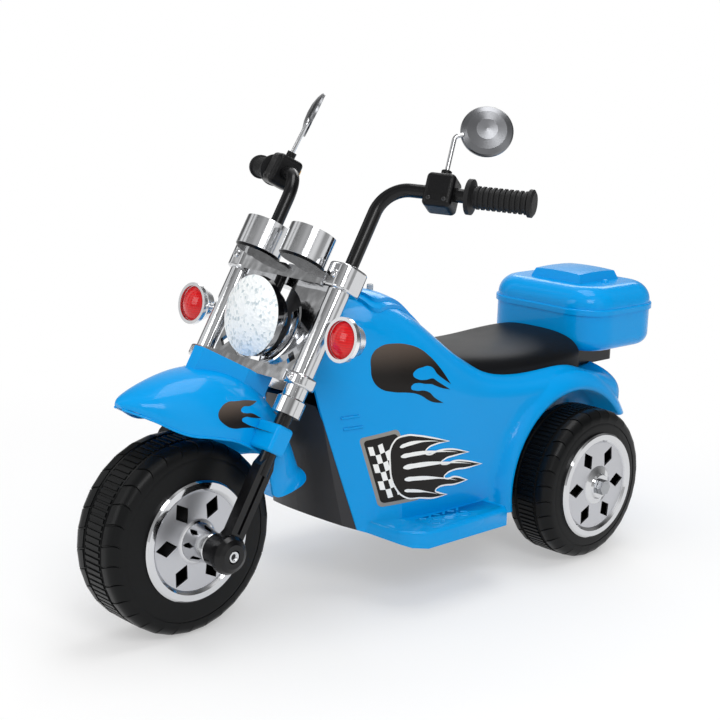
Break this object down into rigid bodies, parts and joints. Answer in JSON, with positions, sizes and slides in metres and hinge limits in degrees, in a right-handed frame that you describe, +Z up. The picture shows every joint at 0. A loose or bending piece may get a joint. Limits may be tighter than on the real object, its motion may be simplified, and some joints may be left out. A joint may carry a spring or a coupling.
{
  "type": "kids electric motorbike",
  "caption": "Battery ride-on chopper trike for a small child, with a raked chrome fork, high handlebars, mirrors, moulded saddle, foot pedal and a hinged rear storage box.",
  "frame": {"origin": "on the floor, in the middle of the object's length and width", "axes": "+X forward, +Y to the rider's left, +Z up"},
  "size_m": [0.885, 0.4758, 0.5822],
  "materials": {
    "blue_plastic": "glossy moulded",
    "black_plastic": "satin moulded",
    "tyre_plastic": "satin blow moulded",
    "chrome_plastic": "chrome plated",
    "black_steel": "gloss enamel",
    "steel": "zinc plated",
    "clear_lens": "clear moulded",
    "red_lens": "translucent moulded",
    "grey_plastic": "satin moulded",
    "grip_rubber": "ribbed"
  },
  "bodies": {
    "frame": {"body_shell": "blue_plastic", "chassis": "black_plastic", "tank_cover": "blue_plastic", "seat": "black_plastic", "tail_bracket": "black_plastic", "storage_box": "blue_plastic", "box_hinge_pin": "steel", "rear_axle": "steel", "rear_axle_nuts": "steel", "battery": "black_plastic", "drive_motor": "steel", "gearbox": "black_plastic", "speaker": "black_plastic", "charge_socket": "black_plastic", "pedal_switch": "black_plastic", "pedal_pin": "steel", "wiring_harness": "black_plastic", "steering_bushes": "black_plastic", "body_screws": "steel"},
    "steering": {"steering_stem": "steel", "lower_crown": "chrome_plastic", "upper_crown": "chrome_plastic", "fork_leg_left": "black_plastic", "fork_leg_right": "black_plastic", "fork_sleeve_left": "chrome_plastic", "fork_sleeve_right": "chrome_plastic", "fork_fascia": "chrome_plastic", "headlight_shell": "chrome_plastic", "headlight_reflector": "chrome_plastic", "headlight_lens": "clear_lens", "gauge_cups": "chrome_plastic", "gauge_dials": "grey_plastic", "signal_housing_left": "chrome_plastic", "signal_housing_right": "chrome_plastic", "signal_lenses": "red_lens", "handlebar_left": "black_steel", "handlebar_right": "black_steel", "grip_left": "grip_rubber", "grip_right": "grip_rubber", "switch_box_left": "black_plastic", "switch_box_right": "black_plastic", "front_fender": "blue_plastic", "front_axle": "steel", "axle_caps": "black_plastic"},
    "front_wheel": {"front_tyre": "tyre_plastic", "front_rims": "chrome_plastic"},
    "rear_left_wheel": {"rear_tyre_left": "tyre_plastic", "rear_rim_left": "chrome_plastic"},
    "rear_right_wheel": {"rear_tyre_right": "tyre_plastic", "rear_rim_right": "chrome_plastic", "drive_hub": "black_plastic"},
    "lid": {"storage_lid": "blue_plastic"},
    "pedal": {"accelerator_pedal": "black_plastic"},
    "start": {"start_button": "grey_plastic"},
    "horn": {"horn_button": "red_lens"},
    "music": {"music_button": "red_lens"},
    "mirror_left": {"mirror_stem_left": "chrome_plastic", "mirror_head_left": "chrome_plastic"},
    "mirror_right": {"mirror_stem_right": "chrome_plastic", "mirror_head_right": "chrome_plastic"}
  },
  "joints": [
    {"name": "steer", "type": "hinge", "parent": "frame", "child": "steering", "pos_m": [0.30219, 0, 0.0925], "axis": [-0.5, 0, 0.866], "range_deg": [-30, 30]},
    {"name": "front_spin", "type": "hinge", "parent": "steering", "child": "front_wheel", "pos_m": [0.3325, 0, 0.11], "axis": [0, 1, 0], "continuous": true},
    {"name": "rear_left_spin", "type": "hinge", "parent": "frame", "child": "rear_left_wheel", "pos_m": [-0.2225, 0.122, 0.098], "axis": [0, 1, 0], "continuous": true},
    {"name": "rear_right_spin", "type": "hinge", "parent": "frame", "child": "rear_right_wheel", "pos_m": [-0.2225, -0.122, 0.098], "axis": [0, 1, 0], "continuous": true},
    {"name": "lid_hinge", "type": "hinge", "parent": "frame", "child": "lid", "pos_m": [-0.4375, 0, 0.3002], "axis": [0, -1, 0], "range_deg": [0, 95]},
    {"name": "pedal_press", "type": "hinge", "parent": "frame", "child": "pedal", "pos_m": [-0.0325, -0.128, 0.103], "axis": [0, 1, 0], "range_deg": [0, 6], "stiffness_Nm_per_rad": 2, "springref_deg": -5.73},
    {"name": "start_press", "type": "slide", "parent": "frame", "child": "start", "axis": [0, 0, -1], "range_m": [0, 0.003], "stiffness_N_per_m": 300, "springref_m": -0.002},
    {"name": "horn_press", "type": "slide", "parent": "steering", "child": "horn", "axis": [0.7976, 0.3897, 0.4605], "range_m": [0, 0.002], "stiffness_N_per_m": 300, "springref_m": -0.002},
    {"name": "music_press", "type": "slide", "parent": "steering", "child": "music", "axis": [0.7976, -0.3897, 0.4605], "range_m": [0, 0.002], "stiffness_N_per_m": 300, "springref_m": -0.002},
    {"name": "mirror_left_swivel", "type": "hinge", "parent": "steering", "child": "mirror_left", "pos_m": [0.06821, 0.13569, 0.48641], "axis": [-0.4307, -0.1667, 0.887], "range_deg": [-25, 25]},
    {"name": "mirror_right_swivel", "type": "hinge", "parent": "steering", "child": "mirror_right", "pos_m": [0.06821, -0.13569, 0.48641], "axis": [-0.4307, 0.1667, 0.887], "range_deg": [-25, 25]}
  ]
}
